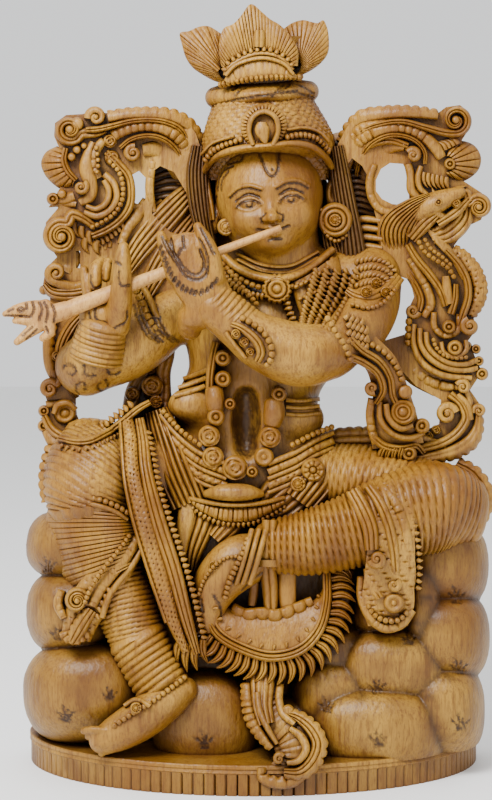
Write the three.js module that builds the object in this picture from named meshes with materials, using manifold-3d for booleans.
// A seated flute player carved in light wood, with the rocks under it, the scrollwork beside it and its
// plinth, all from one block, and a loose flute that runs through both hands.
// Millimetres. +X is to the viewer's right, +Y away from the viewer, +Z up. The origin is on the
// underside of the plinth, in its middle.

import * as THREE from 'three';
import { mergeVertices } from 'three/addons/utils/BufferGeometryUtils.js';
import Module from 'manifold-3d';

const wasm = await Module();
wasm.setup();

// Driving dimensions of the figure
const FIGURE_HEIGHT = 586;       // from the top of the plinth to the tip of the lotus crown

// Driving dimensions of the plinth
const PLINTH_WIDTH = 372;
const PLINTH_DEPTH = 150;
const PLINTH_HEIGHT = 24;
const PLINTH_CORNER = 30;        // radius of the two corners at the back
const RIM_HEIGHT = 7;            // smooth band at the top of the plinth's side
const RIM_PROUD = 1;             // how far that band stands out
const GROOVE_COUNT = 30;         // upright grooves round the front and the ends
const GROOVE_DEPTH = 1.4;
const GROOVE_WIDTH = 2.4;
const SINK = 5;                  // how far the rocks run down into the plinth

// Driving dimensions of the flute
const FLUTE_LENGTH = 182;        // from the lips to the neck of the finial
const FLUTE_LIP_DIAMETER = 5.2;
const FLUTE_FOOT_DIAMETER = 12.5;
const FLUTE_FOOT_LENGTH = 22;    // stretch next to the finial that doesn't taper
const FINIAL_LENGTH = 44;        // bird's head at the foot of the flute
const FINIAL_THICKNESS = 11;
const FLUTE_CLEARANCE = 0.4;     // room round the flute in the hands

// The carver's drawing. The figure is laid out in squares as it is seen from a standing viewer: columns
// run to the right, rows run down, and depth stands out toward the viewer. The helpers below work in
// squares, and place() carries a point of the drawing into the block. All of it follows FIGURE_HEIGHT.
const UNIT_COUNT = 586;          // units of depth in the figure's height
const UNIT = FIGURE_HEIGHT / UNIT_COUNT;
const VIEWER_DISTANCE = 1350 * UNIT;
const VIEWER_SIDE = -6.4 * UNIT;
const VIEWER_HEIGHT = 356 * UNIT;    // above the top of the plinth
const VIEW_DOWN = THREE.MathUtils.degToRad(3.41);
const COLUMNS = 492;
const ROWS = 800;
const ROWS_ANGLE = THREE.MathUtils.degToRad(26.565462);   // angle that all the rows take up
const SQUARES_AWAY = ROWS / 2 / Math.tan(ROWS_ANGLE / 2);  // distance of the sheet, in squares

function place(column, row, out) {
  const across = (column - COLUMNS / 2) / SQUARES_AWAY;
  const rise = (ROWS / 2 - row) / SQUARES_AWAY;
  const forward = Math.cos(VIEW_DOWN) + rise * Math.sin(VIEW_DOWN);
  const upward = rise * Math.cos(VIEW_DOWN) - Math.sin(VIEW_DOWN);
  const reach = (VIEWER_DISTANCE - out * UNIT) / forward;
  return new THREE.Vector3(
    VIEWER_SIDE + reach * across,
    -out * UNIT,
    PLINTH_HEIGHT + VIEWER_HEIGHT + reach * upward,
  );
}

// Solids and meshes

function toSolid(geometry) {
  const bare = new THREE.BufferGeometry();
  bare.setAttribute('position', geometry.getAttribute('position'));
  if (geometry.index) bare.setIndex(geometry.index);
  const merged = mergeVertices(bare, 1e-4);
  const faces = [];
  const corners = merged.index.array;
  for (let face = 0; face < corners.length; face += 3) {
    const [a, b, c] = corners.slice(face, face + 3);
    if (a !== b && b !== c && c !== a) faces.push(a, b, c);
  }
  return new wasm.Manifold(new wasm.Mesh({
    numProp: 3,
    vertProperties: new Float32Array(merged.getAttribute('position').array),
    triVerts: new Uint32Array(faces),
  }));
}

function toGeometry(solid) {
  const mesh = solid.getMesh();
  const geometry = new THREE.BufferGeometry();
  geometry.setAttribute('position', new THREE.BufferAttribute(mesh.vertProperties, 3));
  geometry.setIndex(new THREE.BufferAttribute(mesh.triVerts, 1));
  geometry.computeVertexNormals();
  return geometry;
}

function join(solids) {
  return wasm.Manifold.union(solids);
}

// Carries a solid of the drawing into the block.
function carve(solid) {
  const geometry = toGeometry(solid);
  const position = geometry.getAttribute('position');
  for (let point = 0; point < position.count; point += 1) {
    const there = place(position.getX(point), -position.getY(point), position.getZ(point));
    position.setXYZ(point, there.x, there.y, there.z);
  }
  return toSolid(geometry);
}

// Fills the hollows that forms seal between them: a skin that encloses air has a negative volume.
function withoutHollows(geometry) {
  const index = geometry.index.array;
  const position = geometry.getAttribute('position');
  const leader = Array.from({ length: position.count }, (_, point) => point);
  const find = (point) => {
    let top = point;
    while (leader[top] !== top) top = leader[top];
    leader[point] = top;
    return top;
  };
  for (let face = 0; face < index.length; face += 3) {
    leader[find(index[face + 1])] = find(index[face]);
    leader[find(index[face + 2])] = find(index[face]);
  }
  const volumes = new Map();
  for (let face = 0; face < index.length; face += 3) {
    const [a, b, c] = [0, 1, 2].map((corner) => (
      new THREE.Vector3().fromBufferAttribute(position, index[face + corner])
    ));
    const skin = find(index[face]);
    volumes.set(skin, (volumes.get(skin) ?? 0) + a.dot(b.cross(c)));
  }
  const faces = [];
  for (let face = 0; face < index.length; face += 3) {
    if (volumes.get(find(index[face])) > 0) faces.push(index[face], index[face + 1], index[face + 2]);
  }
  geometry.setIndex(faces);
  return geometry;
}

// Helpers on the drawing. A point is [column, row, out].

function mark([column, row, out]) {
  return new THREE.Vector3(column, -row, out);
}

// A rounded lump: half sizes across, down and in depth, turned clockwise in the sheet by degrees.
function lump([column, row, out], [across, down, deep], turn = 0, around = 8, rings = 5) {
  const geometry = new THREE.SphereGeometry(1, around, rings);
  geometry.scale(across, down, deep);
  geometry.rotateZ(THREE.MathUtils.degToRad(-turn));
  geometry.translate(column, -row, out);
  return toSolid(geometry);
}

// A lump given by its farthest and nearest depth.
function boulder([column, row], [across, down], [back, front], turn = 0) {
  return lump([column, row, (front + back) / 2], [across, down, (front - back) / 2], turn, 6, 5);
}

// The sizes at a share of a path, with straight changes between its stops.
function sizesAt(sizes, share) {
  const spot = share * (sizes.length - 1);
  const before = Math.min(Math.floor(spot), sizes.length - 2);
  const part = spot - before;
  return sizes[before].map((size, index) => size * (1 - part) + sizes[before + 1][index] * part);
}

// Sweeps a section along a smooth path. Each stop is [column, row, out, ...sizes], and
// section(sizes, share) gives the section's corners as [across, deep] pairs, anticlockwise.
// Each end is flat, or drawn out to a point that stands off by tip times the first size.
function sweep(stops, steps, section, tip = 0) {
  const path = new THREE.CatmullRomCurve3(stops.map(mark), false, 'centripetal');
  const sizes = stops.map((stop) => stop.slice(3));
  const points = [];
  const ends = [];
  let corners = 0;
  for (let step = 0; step <= steps; step += 1) {
    const share = step / steps;
    const centre = path.getPoint(share);
    const along = path.getTangent(share);
    const side = new THREE.Vector3(0, 0, 1).cross(along).normalize();
    const facing = new THREE.Vector3().crossVectors(along, side).normalize();
    const size = sizesAt(sizes, share);
    const outline = section(size, share);
    corners = outline.length;
    outline.forEach(([across, deep]) => points.push(
      centre.clone().addScaledVector(side, across).addScaledVector(facing, deep),
    ));
    if (step === 0 || step === steps) {
      const off = (step === 0 ? -tip : tip) * size[0];
      ends.push({ outline, point: centre.clone().addScaledVector(along, off) });
    }
  }
  const faces = [];
  for (let ring = 0; ring < steps; ring += 1) {
    for (let corner = 0; corner < corners; corner += 1) {
      const a = ring * corners + corner;
      const b = ring * corners + ((corner + 1) % corners);
      faces.push(a, b, b + corners, a, b + corners, a + corners);
    }
  }
  closeEnd(faces, points, ends[0], 0, corners, tip > 0, true);
  closeEnd(faces, points, ends[1], steps * corners, corners, tip > 0, false);
  const geometry = new THREE.BufferGeometry().setFromPoints(points);
  geometry.setIndex(faces);
  return toSolid(geometry);
}

function closeEnd(faces, points, end, first, corners, pointed, isStart) {
  const put = (a, b, c) => (isStart ? faces.push(a, c, b) : faces.push(a, b, c));
  if (pointed) {
    points.push(end.point);
    for (let corner = 0; corner < corners; corner += 1) {
      put(points.length - 1, first + corner, first + ((corner + 1) % corners));
    }
    return;
  }
  const flat = end.outline.map(([across, deep]) => new THREE.Vector2(across, deep));
  THREE.ShapeUtils.triangulateShape(flat, []).forEach(([a, b, c]) => put(first + a, first + b, first + c));
}

// A rounded limb. Each stop is [column, row, out, half width, half depth].
function limb(stops, steps = 3, sides = 6, tip = 0.5) {
  const section = ([wide, deep]) => Array.from({ length: sides }, (_, side) => {
    const angle = (side / sides) * 2 * Math.PI;
    return [wide * Math.cos(angle), deep * Math.sin(angle)];
  });
  return sweep(stops, steps, section, tip);
}

// A limb under cloth in pleats that run round it: each pleat swells by the given depth.
function pleated(stops, pleats, swell, sides = 8) {
  const section = ([wide, deep], share) => {
    const rise = Math.round(share * pleats * 2) % 2 ? swell : 0;
    return Array.from({ length: sides }, (_, side) => {
      const angle = (side / sides) * 2 * Math.PI;
      return [(wide + rise) * Math.cos(angle), (deep + rise) * Math.sin(angle)];
    });
  };
  return sweep(stops, pleats * 2, section, 0.4);
}

// A ribbon with ridges along it. Each stop is [column, row, out, half width]; out is the level between
// the ridges, which stand up by relief, and the ribbon is as thick as depth behind that level.
function ribbon(stops, steps, ridges, relief, depth) {
  const section = ([wide]) => {
    const pitch = (2 * wide) / ridges;
    const crests = [];
    for (let ridge = 0; ridge < ridges; ridge += 1) {
      if (ridge > 0) crests.push([wide - ridge * pitch, 0]);
      crests.push([wide - (ridge + 0.5) * pitch, relief]);
    }
    return [[-wide, -depth], [wide, -depth], ...crests];
  };
  return sweep(stops, steps, section);
}

// A flat piece cut out along an outline of [column, row] points, between two depths.
function plate(outline, [back, front], holes = []) {
  const shape = new THREE.Shape(outline.map(([column, row]) => new THREE.Vector2(column, -row)));
  holes.forEach((hole) => shape.holes.push(
    new THREE.Path(hole.map(([column, row]) => new THREE.Vector2(column, -row))),
  ));
  const geometry = new THREE.ExtrudeGeometry(shape, { depth: front - back, bevelEnabled: false });
  geometry.translate(0, 0, back);
  return toSolid(geometry);
}

// A turned disc that faces the viewer: a rim round a hollow with a boss in it. Its rim stands at out,
// its boss at out plus rise, and it is as thick as depth.
function whorl([column, row, out], radius, depth, rise = 3, sides = 8) {
  const profile = [
    [0, -depth],
    [radius, -depth],
    [0.86 * radius, 0],
    [0.58 * radius, -3],
    [0, rise],
  ];
  const geometry = new THREE.LatheGeometry(profile.map(([x, y]) => new THREE.Vector2(x, y)), sides);
  geometry.rotateX(Math.PI / 2);
  geometry.translate(column, -row, out);
  return toSolid(geometry);
}

// A low round boss that faces the viewer.
function boss([column, row, out], radius, depth, rise) {
  const profile = [
    [0, -depth],
    [radius, -depth],
    [0.8 * radius, 0],
    [0, rise],
  ];
  const geometry = new THREE.LatheGeometry(profile.map(([x, y]) => new THREE.Vector2(x, y)), 6);
  geometry.rotateX(Math.PI / 2);
  geometry.translate(column, -row, out);
  return toSolid(geometry);
}

// A fringe of leaves beside a path: count teeth of the given length that lean along the path.
function fringe(stops, count, length, lean, [back, front]) {
  const path = new THREE.CatmullRomCurve3(
    stops.map(([column, row]) => new THREE.Vector3(column, -row, 0)),
    false,
    'centripetal',
  );
  const outer = [];
  const inner = [];
  for (let tooth = 0; tooth <= count; tooth += 1) {
    const root = path.getPoint(tooth / count);
    const along = path.getTangent(tooth / count);
    const outward = along.clone().cross(new THREE.Vector3(0, 0, 1));
    const pitch = path.getLength() / count;
    inner.unshift(root.clone().addScaledVector(outward, -4));
    outer.push(root.clone().addScaledVector(outward, length * 0.55));
    if (tooth < count) {
      outer.push(root.clone().addScaledVector(outward, length).addScaledVector(along, lean * pitch));
    }
  }
  const ends = inner.filter((_, index) => index % 3 === 0 || index === inner.length - 1);
  return plate([...outer, ...ends].map((point) => [point.x, -point.y]), [back, front]);
}

// Rocks

function rocks() {
  const left = [
    boulder([67, 546], [41, 35], [-60, 40], 8),
    boulder([70, 612], [44, 43], [-66, 42]),
    boulder([86, 692], [63, 53], [-70, 50], -4),
  ];
  const front = [
    boulder([206, 724], [54, 54], [-30, 48]),
    boulder([334, 698], [44, 42], [-30, 42]),
    boulder([394, 668], [60, 42], [-40, 46]),
    boulder([376, 732], [72, 48], [-40, 58]),
  ];
  const right = [
    boulder([443, 565], [46, 47], [-64, 38]),
    boulder([447, 637], [43, 48], [-70, 44]),
    boulder([444, 710], [41, 51], [-68, 46]),
    lump([424, 606, 15], [18, 48, 25], 0, 6, 4),
  ];
  const back = [
    lump([254, 600, -28], [204, 150, 46], 0, 6, 5),
    lump([160, 690, -36], [112, 92, 40], 0, 6, 4),
    lump([352, 690, -36], [118, 92, 40], 0, 6, 4),
  ];
  return [...left, ...front, ...right, ...back];
}

// Trunk, neck and shoulders

function trunk() {
  return [
    lump([264, 338, -12], [80, 77, 43], -6, 8, 6),
    lump([246, 410, -12], [74, 65, 41], 0, 8, 5),
    lump([248, 478, -14], [116, 58, 46], 0, 8, 5),
    limb([[286, 240, -8, 34, 28], [280, 305, -10, 36, 30]], 1, 6, 0),
    limb([[178, 314, -16, 25, 22], [274, 276, -11, 33, 30], [372, 278, -8, 29, 27]], 2, 6),
  ];
}

// Head with a calm, regular face, its hair, ears and rings

function head() {
  const skull = lump([271, 197, -2], [55, 60, 47], -6, 8, 6);
  const jaw = lump([277, 224, 2], [43, 37, 42], -6, 8, 5);
  const nose = limb([[273, 184, 38, 5, 6], [275, 208, 47, 9, 8]], 1, 4);
  const brows = [
    limb([[234, 184, 30, 4, 5], [264, 180, 40, 4, 6]], 1, 3, 1),
    limb([[283, 178, 41, 4, 6], [313, 177, 30, 4, 5]], 1, 3, 1),
  ];
  const eyes = [lump([250, 193, 34], [12, 6, 8], 0, 6, 3), lump([299, 188, 34], [12, 6, 8], -6, 6, 3)];
  const lips = lump([277, 225, 40], [15, 7, 9], -6, 6, 3);
  const ears = [
    lump([334, 194, -4], [9, 18, 12], 4, 5, 4),
    whorl([335, 221, 12], 17, 20, 3, 7),
    whorl([225, 227, 14], 10, 20, 3, 6),
  ];
  const hair = [
    lump([268, 206, -30], [68, 72, 27], -6, 7, 4),
    limb([[338, 150, -22, 24, 18], [350, 262, -24, 36, 22]], 1, 6),
    limb([[190, 142, -24, 16, 16], [182, 200, -26, 34, 20], [194, 262, -22, 32, 22]], 2, 5),
  ];
  return [skull, jaw, nose, ...brows, ...eyes, lips, ...ears, ...hair];
}

// Crown: a cap with a hem and a front jewel, a turban roll, and a lotus of broad petals

function crown() {
  const cap = limb([
    [267, 172, -4, 66, 50],
    [267, 148, -4, 68, 52],
    [265, 126, -5, 61, 47],
    [262, 98, -6, 49, 39],
  ], 3, 9, 0);
  const hem = limb([[206, 168, 12, 6, 8], [222, 152, 32, 7, 9], [262, 142, 45, 8, 9],
    [314, 147, 30, 7, 9], [332, 166, 9, 6, 8]], 4, 4);
  const jewel = whorl([264, 130, 50], 22, 24, 4, 7);
  const roll = lump([262, 95, -6], [58, 17, 45], -3, 9, 4);
  const cup = limb([[261, 90, -6, 40, 33], [260, 70, -6, 40, 34], [259, 46, -6, 52, 42]], 2, 8, 0);
  const petals = [
    plate([[251, 4], [281, 24], [296, 50], [290, 68], [262, 78], [230, 70], [219, 50], [224, 27]], [8, 38]),
    plate([[179, 32], [203, 25], [232, 30], [238, 80], [210, 79], [188, 64]], [-14, 20]),
    plate([[326, 20], [328, 52], [304, 74], [274, 76], [278, 30], [304, 20]], [-14, 20]),
    plate([[200, 26], [262, 14], [318, 22], [318, 52], [296, 76], [222, 78], [200, 50]], [-52, -14]),
  ];
  return [cap, hem, jewel, roll, cup, ...petals];
}

// Arms, hands and their bands

function arms() {
  const leftArm = [
    limb([[182, 308, -12, 26, 24], [130, 344, 4, 35, 29], [82, 367, 16, 30, 27]], 3, 6),
    pleated([[88, 372, 16, 24, 22], [94, 346, 27, 24, 21], [101, 322, 33, 21, 17]], 1, 3, 6),
  ];
  const leftHand = [
    lump([97, 312, 35], [19, 20, 15], 0, 6, 4),
    limb([[112, 326, 44, 14, 11], [120, 290, 54, 12, 10], [124, 246, 56, 6, 7]], 2, 6),
    limb([[86, 306, 34, 7, 8], [87, 272, 38, 6, 6]], 1, 4),
    limb([[97, 306, 32, 7, 8], [95, 258, 36, 6, 7]], 1, 4),
    limb([[108, 300, 34, 7, 8], [107, 256, 38, 6, 7]], 1, 4),
  ];
  const rightArm = [
    limb([[373, 274, -6, 28, 27], [371, 302, 10, 30, 26], [358, 328, 34, 30, 26], [340, 346, 50, 25, 25]],
      3, 6),
    limb([[328, 352, 50, 28, 26], [300, 355, 56, 32, 27], [262, 342, 60, 28, 24], [244, 330, 62, 24, 20]],
      3, 6),
    pleated([[248, 332, 62, 22, 18], [214, 308, 65, 20, 14]], 1, 3, 6),
  ];
  const rightHand = [
    limb([[218, 308, 65, 22, 12], [202, 286, 66, 29, 11], [186, 248, 65, 25, 9]], 2, 6),
    limb([[168, 260, 64, 8, 8], [160, 234, 60, 5, 6]], 1, 4),
    limb([[175, 256, 65, 8, 8], [175, 237, 61, 7, 7]], 1, 4),
    limb([[188, 254, 65, 8, 8], [187, 235, 61, 6, 7]], 1, 4),
    limb([[214, 264, 68, 10, 10], [208, 244, 68, 9, 9], [197, 226, 64, 7, 8]], 2, 4),
  ];
  return [...leftArm, ...leftHand, ...rightArm, ...rightHand];
}

// Legs under pleated cloth, and feet

function legs() {
  const left = [
    limb([[196, 478, -8, 44, 40], [140, 474, 8, 48, 42], [100, 484, 22, 46, 42]], 2, 6),
    pleated([[96, 446, 12, 38, 28], [90, 480, 26, 50, 42], [92, 520, 32, 49, 42], [104, 560, 34, 38, 34],
      [122, 600, 36, 32, 28], [142, 655, 38, 28, 24], [160, 690, 42, 30, 24]], 6, 2, 7),
    limb([[188, 690, 42, 14, 16], [160, 706, 48, 24, 20], [130, 726, 52, 23, 20], [92, 742, 54, 10, 12]],
      3, 6),
  ];
  const right = [
    limb([[300, 480, -10, 42, 40], [372, 484, 6, 40, 40], [430, 500, 14, 42, 36]], 2, 6),
    pleated([[468, 514, 8, 38, 28], [436, 508, 26, 48, 40], [396, 515, 38, 44, 37], [352, 531, 42, 37, 33],
      [312, 542, 42, 33, 29], [262, 548, 40, 27, 24]], 6, 2, 7),
    limb([[262, 546, 40, 27, 22], [238, 558, 44, 28, 20], [212, 588, 44, 23, 17], [207, 612, 44, 17, 13],
      [208, 634, 42, 13, 10]], 4, 6),
  ];
  return [...left, ...right];
}

// Cloth: sashes, the looped cloth with its flame fringe, the tail, and the dress at the waist

function cloth() {
  const longSash = ribbon([[134, 424, 30, 13], [138, 470, 56, 14], [150, 520, 62, 18], [166, 572, 60, 18],
    [182, 622, 58, 14], [194, 662, 54, 8]], 4, 1, 4, 26);
  const pleatFan = ribbon([[156, 412, 6, 14], [166, 455, 20, 22], [184, 502, 26, 22]], 2, 1, 4, 30);
  const lap = lump([212, 545, 2], [62, 78, 28], 0, 6, 4);
  const loop = [
    plate([[204, 612], [220, 640], [244, 656], [272, 662], [300, 655], [322, 634], [331, 606],
      [328, 570], [240, 584]], [10, 52]),
    ribbon([[206, 622, 52, 6], [230, 647, 56, 6], [272, 657, 58, 6], [312, 641, 56, 6], [327, 606, 52, 6],
      [328, 574, 46, 6]], 6, 1, 3, 20),
    fringe([[196, 618], [212, 642], [240, 658], [272, 664], [304, 656], [326, 634], [336, 600]], 12, 22, 0.8,
      [10, 52]),
  ];
  const tail = [
    ribbon([[262, 672, 50, 18], [262, 706, 60, 18], [268, 730, 68, 14], [272, 754, 72, 9]], 2, 2, 2.5, 40),
    ribbon([[284, 712, 62, 9], [308, 728, 70, 13], [321, 750, 74, 14], [304, 771, 77, 12], [268, 777, 76, 9]],
      4, 1, 2.5, 24),
  ];
  const kneeSash = [
    ribbon([[352, 492, 66, 8], [370, 522, 78, 9], [374, 552, 74, 9]], 2, 1, 3, 30),
    ribbon([[372, 488, 72, 9], [392, 520, 80, 10], [400, 560, 72, 10], [398, 604, 58, 10]], 3, 1, 2, 30),
    whorl([376, 558, 80], 11, 34, 3, 6),
    whorl([390, 600, 66], 27, 60, 4, 8),
  ];
  const belly = [
    limb([[213, 345, 40, 9, 9], [213, 395, 34, 10, 10], [211, 440, 34, 12, 10], [238, 470, 36, 15, 10],
      [264, 448, 34, 12, 10], [272, 412, 36, 10, 10], [278, 388, 44, 9, 9]], 5, 4),
    ribbon([[164, 424, 14, 14], [248, 472, 34, 14]], 1, 1, 4, 20),
    ribbon([[332, 434, 14, 14], [256, 474, 34, 14]], 1, 1, 4, 20),
    lump([233, 492, 36], [31, 10, 14], 0, 7, 3),
    fringe([[192, 498], [212, 508], [236, 510], [262, 506], [286, 494]], 5, 15, 0.5, [6, 38]),
    ribbon([[322, 452, 22, 18], [316, 480, 34, 20], [298, 506, 40, 20]], 2, 1, 4, 26),
  ];
  return [longSash, pleatFan, lap, ...loop, ...tail, ...kneeSash, ...belly];
}

// Collar, pendant, breast flap and the sash over the shoulder

function ornaments() {
  return [
    limb([[224, 252, 14, 6, 9], [248, 274, 28, 6, 9], [284, 280, 34, 7, 9], [332, 248, 10, 6, 9]], 3, 4),
    whorl([277, 289, 42], 15, 30, 3, 6),
    plate([[288, 282], [330, 256], [354, 262], [348, 290], [336, 322], [304, 328], [290, 312]], [-12, 34]),
    limb([[232, 322, 74, 11, 8], [262, 366, 66, 12, 8]], 1, 4),
    ribbon([[326, 314, 72, 8], [348, 342, 82, 9], [358, 362, 70, 9], [382, 384, 50, 8]], 3, 1, 3, 22),
    ribbon([[352, 330, 58, 15], [372, 358, 58, 20], [389, 386, 46, 20], [394, 412, 34, 23],
      [400, 446, 24, 30]], 3, 2, 4, 34),
    whorl([405, 410, 46], 12, 30, 4, 6),
  ];
}

// Scrollwork on the left: pierced panels, with ribbons and volutes standing up from them

function leftScrollwork() {
  const upper = plate(
    [[204, 150], [196, 132], [184, 116], [172, 110], [106, 111], [96, 108], [82, 112],
      [66, 113], [54, 121], [52, 136], [60, 150], [60, 184],
      [49, 197], [52, 207], [42, 220], [42, 238], [56, 259], [42, 267], [40, 284],
      [48, 298], [46, 340], [90, 345], [150, 330], [186, 320], [206, 240]],
    [-30, 0],
    [
      [[130, 176], [133, 202], [141, 205], [146, 192], [146, 178], [139, 171]],
      [[76, 251], [76, 268], [80, 268], [80, 251]],
    ],
  );
  const lower = plate(
    [[44, 322], [70, 322], [68, 360], [78, 398], [77, 410], [84, 428], [96, 427], [132, 416],
      [140, 440], [76, 456], [62, 461], [46, 442], [40, 430], [39, 412], [46, 404], [39, 396],
      [40, 386], [47, 379], [43, 360]],
    [-30, 2],
  );
  const behind = plate(
    [[140, 326], [172, 328], [175, 350], [171, 374], [174, 398], [168, 430], [118, 424], [128, 386],
      [137, 369]],
    [-34, -10],
  );
  const ribbons = [
    ribbon([[202, 152, -6, 13], [178, 124, 2, 13], [150, 121, 6, 11], [104, 124, 8, 10]], 3, 1, 4, 24),
    ribbon([[104, 144, 8, 10], [97, 170, 10, 11], [122, 196, 10, 10], [114, 224, 8, 10], [90, 234, 8, 9]],
      4, 1, 4, 24),
    ribbon([[88, 286, 12, 9], [62, 289, 8, 9], [46, 276, 6, 6]], 2, 1, 4, 24),
    ribbon([[160, 222, 0, 17], [142, 246, 4, 17], [128, 270, 8, 12]], 1, 2, 4, 24),
    ribbon([[54, 328, 8, 9], [50, 354, 8, 9], [70, 392, 4, 8]], 2, 1, 4, 24),
    ribbon([[48, 424, 8, 9], [72, 443, 16, 12], [104, 440, 26, 11], [136, 424, 30, 9]], 3, 1, 3, 36),
  ];
  const whorls = [
    whorl([70, 130, 12], 18, 34, 4, 8),
    boss([132, 154, 10], 14, 30, 3),
    boss([80, 186, 14], 11, 30, 3),
    whorl([62, 242, 14], 18, 34, 4, 8),
    boss([57, 273, 14], 14, 34, 4),
    boss([50, 390, 14], 12, 34, 3),
    boss([62, 414, 12], 12, 34, 3),
  ];
  const shell = plate([[72, 146], [57, 143], [46, 151], [41, 163], [46, 177], [58, 188], [72, 184]], [-24, 8]);
  return [upper, lower, behind, ...ribbons, ...whorls, shell];
}

// Scrollwork on the right: a pierced panel with the arch, the beast with its mane, leaves and volutes

function rightScrollwork() {
  const panel = plate(
    [[336, 142], [345, 125], [356, 113], [370, 109], [420, 107], [438, 111], [446, 104], [460, 102],
      [471, 110], [474, 126], [466, 142], [466, 180], [485, 192], [490, 206], [484, 222], [470, 228],
      [453, 246], [470, 262], [484, 284], [484, 300], [476, 314], [480, 330], [472, 341], [486, 372],
      [473, 390], [488, 410], [478, 438], [462, 456], [400, 470], [374, 466], [368, 440],
      [371, 392], [402, 398], [426, 430], [437, 424], [439, 400], [414, 384],
      [374, 342], [404, 334], [405, 312], [412, 297], [408, 280], [388, 272], [350, 262], [338, 200]],
    [-30, 0],
    [[[376, 180], [376, 190], [382, 199], [400, 205], [408, 200], [409, 180], [403, 164], [390, 163],
      [380, 169]]],
  );
  const bridge = plate([[318, 428], [370, 427], [380, 468], [318, 472]], [-24, 4]);
  const ribbons = [
    ribbon([[344, 148, -2, 12], [358, 126, 4, 14], [390, 118, 8, 11], [446, 128, 8, 10]], 3, 1, 4, 24),
    ribbon([[354, 160, -2, 7], [374, 141, 4, 8], [402, 133, 6, 8], [430, 150, 6, 9], [416, 180, 4, 8],
      [426, 200, 8, 7]], 4, 1, 4, 24),
    ribbon([[484, 214, 6, 6], [458, 218, 8, 12], [428, 244, 8, 12]], 2, 1, 4, 24),
    ribbon([[424, 236, 6, 9], [450, 264, 8, 14], [466, 292, 8, 15], [464, 320, 8, 9]], 3, 1, 4, 24),
    ribbon([[404, 262, 4, 7], [422, 288, 6, 8], [412, 318, 4, 7]], 2, 1, 4, 24),
    ribbon([[410, 328, 4, 7], [414, 356, 6, 10], [436, 374, 8, 10], [470, 376, 8, 8]], 3, 1, 3, 24),
    ribbon([[462, 386, 4, 8], [466, 414, 6, 9], [450, 440, 10, 11], [414, 452, 18, 11], [382, 446, 24, 10]],
      4, 1, 3, 28),
  ];
  const whorls = [
    whorl([456, 118, 12], 17, 34, 4, 8),
    whorl([477, 208, 12], 14, 34, 4, 7),
    boss([471, 327, 12], 10, 34, 3),
    boss([455, 350, 16], 13, 36, 4),
    whorl([450, 414, 14], 13, 36, 4, 7),
  ];
  const shell = plate([[456, 148], [470, 142], [480, 152], [480, 165], [472, 176], [456, 176]], [-24, 8]);
  const beast = limb([[390, 250, 0, 14, 18], [402, 222, 6, 22, 20], [430, 205, 10, 15, 17],
    [462, 188, 10, 8, 11]], 3, 6);
  const dressEdge = ribbon([[446, 468, 8, 9], [476, 492, 4, 10], [468, 530, 4, 8]], 2, 1, 4, 26);
  return [panel, bridge, ...ribbons, ...whorls, shell, beast, dressEdge];
}

// Plinth

// The outline seen from above: straight ends, two round corners at the back, and an oval front.
function plinthOutline(grow) {
  const halfWidth = PLINTH_WIDTH / 2;
  const back = PLINTH_DEPTH / 2;
  const corner = PLINTH_CORNER;
  const widest = back - corner;
  const points = [];
  const cornerSteps = 3;
  for (let step = 0; step <= cornerSteps; step += 1) {
    const angle = (step / cornerSteps) * (Math.PI / 2);
    points.push([halfWidth - corner + corner * Math.cos(angle), widest + corner * Math.sin(angle)]);
  }
  for (let step = cornerSteps; step >= 0; step -= 1) {
    const angle = (step / cornerSteps) * (Math.PI / 2);
    points.push([-halfWidth + corner - corner * Math.cos(angle), widest + corner * Math.sin(angle)]);
  }
  const frontSteps = 18;
  for (let step = 1; step < frontSteps; step += 1) {
    const angle = (step / frontSteps) * Math.PI;
    const reach = PLINTH_DEPTH - corner;
    points.push([-halfWidth * Math.cos(angle), widest - reach * Math.sin(angle)]);
  }
  return points.map(([x, y]) => {
    const length = Math.hypot(x, y);
    return new THREE.Vector2(x * (1 + grow / length), y * (1 + grow / length));
  });
}

function slab(outline, bottom, top) {
  const geometry = new THREE.ExtrudeGeometry(new THREE.Shape(outline), {
    depth: top - bottom,
    bevelEnabled: false,
  });
  geometry.translate(0, 0, bottom);
  return toSolid(geometry);
}

// A narrow wedge that cuts one upright groove into the side at an angle from the middle of the front.
function grooveCutter(angle) {
  const halfWidth = PLINTH_WIDTH / 2 - RIM_PROUD;
  const widest = PLINTH_DEPTH / 2 - PLINTH_CORNER;
  const reach = PLINTH_DEPTH - PLINTH_CORNER - RIM_PROUD;
  const edge = new THREE.Vector2(halfWidth * Math.sin(angle), widest - reach * Math.cos(angle));
  const outward = new THREE.Vector2(Math.sin(angle) / halfWidth, -Math.cos(angle) / reach).normalize();
  const side = new THREE.Vector2(-outward.y, outward.x);
  const outside = 2;
  const spread = (GROOVE_WIDTH / 2) * ((GROOVE_DEPTH + outside) / GROOVE_DEPTH);
  const wedge = [
    edge.clone().addScaledVector(outward, -GROOVE_DEPTH),
    edge.clone().addScaledVector(outward, outside).addScaledVector(side, spread),
    edge.clone().addScaledVector(outward, outside).addScaledVector(side, -spread),
  ];
  return slab(wedge, -outside, PLINTH_HEIGHT - RIM_HEIGHT);
}

function plinth() {
  const foot = slab(plinthOutline(-RIM_PROUD), 0, PLINTH_HEIGHT - RIM_HEIGHT / 2);
  const rim = slab(plinthOutline(0), PLINTH_HEIGHT - RIM_HEIGHT, PLINTH_HEIGHT);
  const cutters = Array.from({ length: GROOVE_COUNT }, (_, groove) => (
    grooveCutter(((groove + 0.5) / GROOVE_COUNT - 0.5) * Math.PI)
  ));
  return foot.subtract(join(cutters)).add(rim);
}

// Flute

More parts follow.
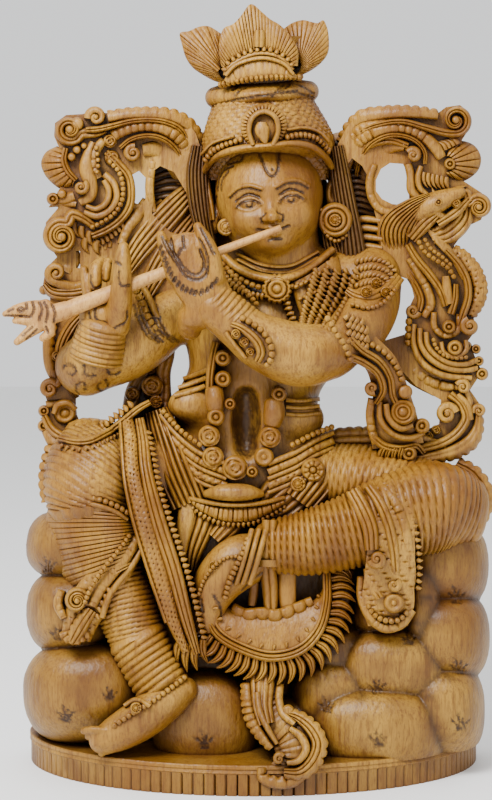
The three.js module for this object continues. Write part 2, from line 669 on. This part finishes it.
// Frame of the flute: its foot at the neck of the finial, its axis toward the lips, and its upper side.
function fluteFrame() {
  const lips = place(281, 228, 52);
  const foot = place(60, 312, 50);
  const axis = lips.clone().sub(foot).normalize();
  const up = new THREE.Vector3(0, 0, 1).addScaledVector(axis, -axis.z).normalize();
  const neck = lips.clone().addScaledVector(axis, -FLUTE_LENGTH);
  return { neck, axis, up };
}

// The finial seen from the side, as shares of its length: how far from the neck, and how high.
const FINIAL_PROFILE = [
  [-0.06, 0.15], [0.3, 0.17], [0.42, 0.34], [0.62, 0.41], [0.82, 0.37], [1, 0.34], [0.86, 0.15],
  [0.76, 0.04], [0.99, -0.21], [0.92, -0.31], [0.7, -0.19], [0.62, -0.31], [0.42, -0.3], [0.31, -0.21],
  [-0.06, -0.15],
];

// The flute, or with room round it the seat that it needs.
function fluteSolid(room) {
  const { neck, axis, up } = fluteFrame();
  const lipRadius = FLUTE_LIP_DIAMETER / 2 + room;
  const footRadius = FLUTE_FOOT_DIAMETER / 2 + room;
  const profile = [
    [0, -room],
    [footRadius, -room],
    [footRadius, FLUTE_FOOT_LENGTH],
    [lipRadius, FLUTE_LENGTH + room],
    [0, FLUTE_LENGTH + room],
  ];
  const sides = 8;
  const stick = new THREE.LatheGeometry(profile.map(([x, y]) => new THREE.Vector2(x, y)), sides);
  stick.applyMatrix4(new THREE.Matrix4().makeBasis(up, axis, up.clone().cross(axis)).setPosition(neck));
  const outline = FINIAL_PROFILE.map(([along, high]) => new THREE.Vector2(
    -along * FINIAL_LENGTH,
    high * FINIAL_LENGTH,
  ));
  const bird = new THREE.ExtrudeGeometry(new THREE.Shape(outline), {
    depth: FINIAL_THICKNESS + 2 * room,
    bevelEnabled: false,
  });
  bird.translate(0, 0, -FINIAL_THICKNESS / 2 - room);
  bird.applyMatrix4(new THREE.Matrix4().makeBasis(axis, up, axis.clone().cross(up)).setPosition(neck));
  return toSolid(stick).add(toSolid(bird));
}

// The carved block

function statue() {
  const figure = carve(join([
    ...rocks(),
    ...trunk(),
    ...head(),
    ...crown(),
    ...arms(),
    ...legs(),
    ...cloth(),
    ...ornaments(),
    ...leftScrollwork(),
    ...rightScrollwork(),
  ]));
  const seated = figure.trimByPlane([0, 0, 1], PLINTH_HEIGHT - SINK);
  return seated.add(plinth()).subtract(fluteSolid(FLUTE_CLEARANCE));
}

function piece(name, geometry, material) {
  const mesh = new THREE.Mesh(geometry, material);
  mesh.name = name;
  return mesh;
}

const carvedWood = new THREE.MeshStandardMaterial({ color: 0xb58a4d, roughness: 0.5, metalness: 0 });
const fluteWood = new THREE.MeshStandardMaterial({ color: 0xcfa277, roughness: 0.5, metalness: 0 });

const figure = new THREE.Group();
figure.add(piece('statue', withoutHollows(toGeometry(statue())), carvedWood));
figure.add(piece('flute', toGeometry(fluteSolid(0)), fluteWood));

export default figure;
